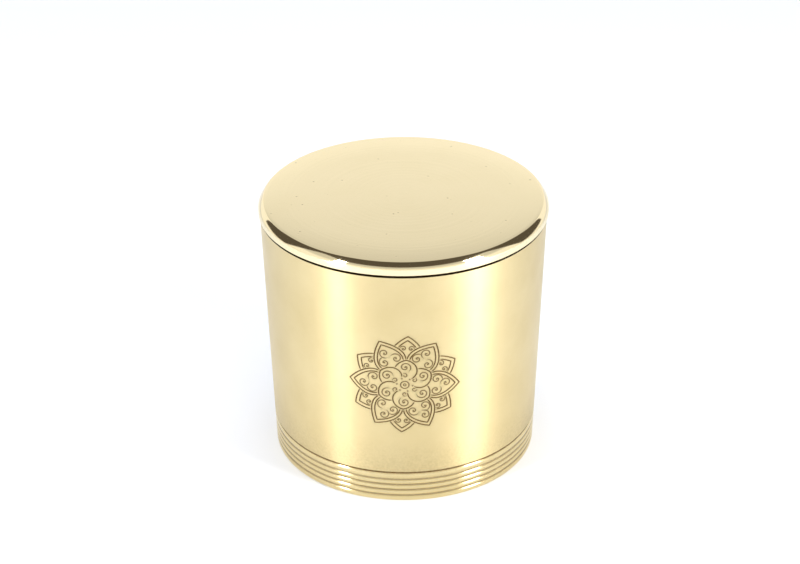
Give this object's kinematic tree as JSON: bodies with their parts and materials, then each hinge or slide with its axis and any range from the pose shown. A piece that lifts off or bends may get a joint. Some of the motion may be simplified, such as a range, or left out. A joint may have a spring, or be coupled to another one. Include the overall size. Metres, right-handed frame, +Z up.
{
  "type": "round lidded brass spice box",
  "caption": "Tapered round brass spice box with a flat lift-off lid, an engraved rosette, turned foot bands, and a lift-out tray of cups with a spoon inside.",
  "frame": {"origin": "centre of the foot ring, on the surface the box stands on", "axes": "+Z up along the box's axis, -Y towards the front, where the engraved rosette is"},
  "size_m": [0.1414, 0.1414, 0.134],
  "materials": {
    "wall_brass": "satin, finely turned, with dark patina in the grooves and the engraving",
    "lid_brass": "polished to a soft pale sheen",
    "sheet_brass": "plain rolled sheet, lightly brushed",
    "cup_brass": "spun and lightly polished",
    "spoon_brass": "polished",
    "rivet_brass": "hammered heads"
  },
  "bodies": {
    "box": {"body_wall": "wall_brass", "base_plate": "sheet_brass", "tray_ledge": "sheet_brass"},
    "tray": {"tray_plate": "sheet_brass", "tray_lug_left": "sheet_brass", "tray_lug_right": "sheet_brass", "tray_rivets": "rivet_brass"},
    "centre_cup": {"cup_centre": "cup_brass"},
    "outer_cup_1": {"cup_1": "cup_brass"},
    "outer_cup_2": {"cup_2": "cup_brass"},
    "outer_cup_3": {"cup_3": "cup_brass"},
    "outer_cup_4": {"cup_4": "cup_brass"},
    "outer_cup_5": {"cup_5": "cup_brass"},
    "outer_cup_6": {"cup_6": "cup_brass"},
    "spoon_body": {"spoon": "spoon_brass"},
    "lid": {"lid_cap": "lid_brass", "lid_collar": "lid_brass"}
  },
  "joints": [
    {"name": "tray_lift", "type": "slide", "parent": "box", "child": "tray", "axis": [0, 0, 1], "range_m": [0, 0.085]},
    {"name": "cup_lift", "type": "slide", "parent": "tray", "child": "centre_cup", "axis": [0, 0, 1], "range_m": [0, 0.075]},
    {"name": "cup_1_lift", "type": "slide", "parent": "tray", "child": "outer_cup_1", "axis": [0, 0, 1], "range_m": [0, 0.075]},
    {"name": "cup_2_lift", "type": "slide", "parent": "tray", "child": "outer_cup_2", "axis": [0, 0, 1], "range_m": [0, 0.075]},
    {"name": "cup_3_lift", "type": "slide", "parent": "tray", "child": "outer_cup_3", "axis": [0, 0, 1], "range_m": [0, 0.075]},
    {"name": "cup_4_lift", "type": "slide", "parent": "tray", "child": "outer_cup_4", "axis": [0, 0, 1], "range_m": [0, 0.075]},
    {"name": "cup_5_lift", "type": "slide", "parent": "tray", "child": "outer_cup_5", "axis": [0, 0, 1], "range_m": [0, 0.075]},
    {"name": "cup_6_lift", "type": "slide", "parent": "tray", "child": "outer_cup_6", "axis": [0, 0, 1], "range_m": [0, 0.075]},
    {"name": "spoon_lift", "type": "slide", "parent": "centre_cup", "child": "spoon_body", "axis": [0, 0, 1], "range_m": [0, 0.04]},
    {"name": "lid_lift", "type": "slide", "parent": "spoon_body", "child": "lid", "axis": [0, 0, 1], "range_m": [0, 0.06]}
  ],
  "couplings": [
    {"joint": "cup_1_lift", "follows": "cup_lift", "ratio": 1},
    {"joint": "cup_2_lift", "follows": "cup_lift", "ratio": 1},
    {"joint": "cup_3_lift", "follows": "cup_lift", "ratio": 1},
    {"joint": "cup_4_lift", "follows": "cup_lift", "ratio": 1},
    {"joint": "cup_5_lift", "follows": "cup_lift", "ratio": 1},
    {"joint": "cup_6_lift", "follows": "cup_lift", "ratio": 1}
  ]
}
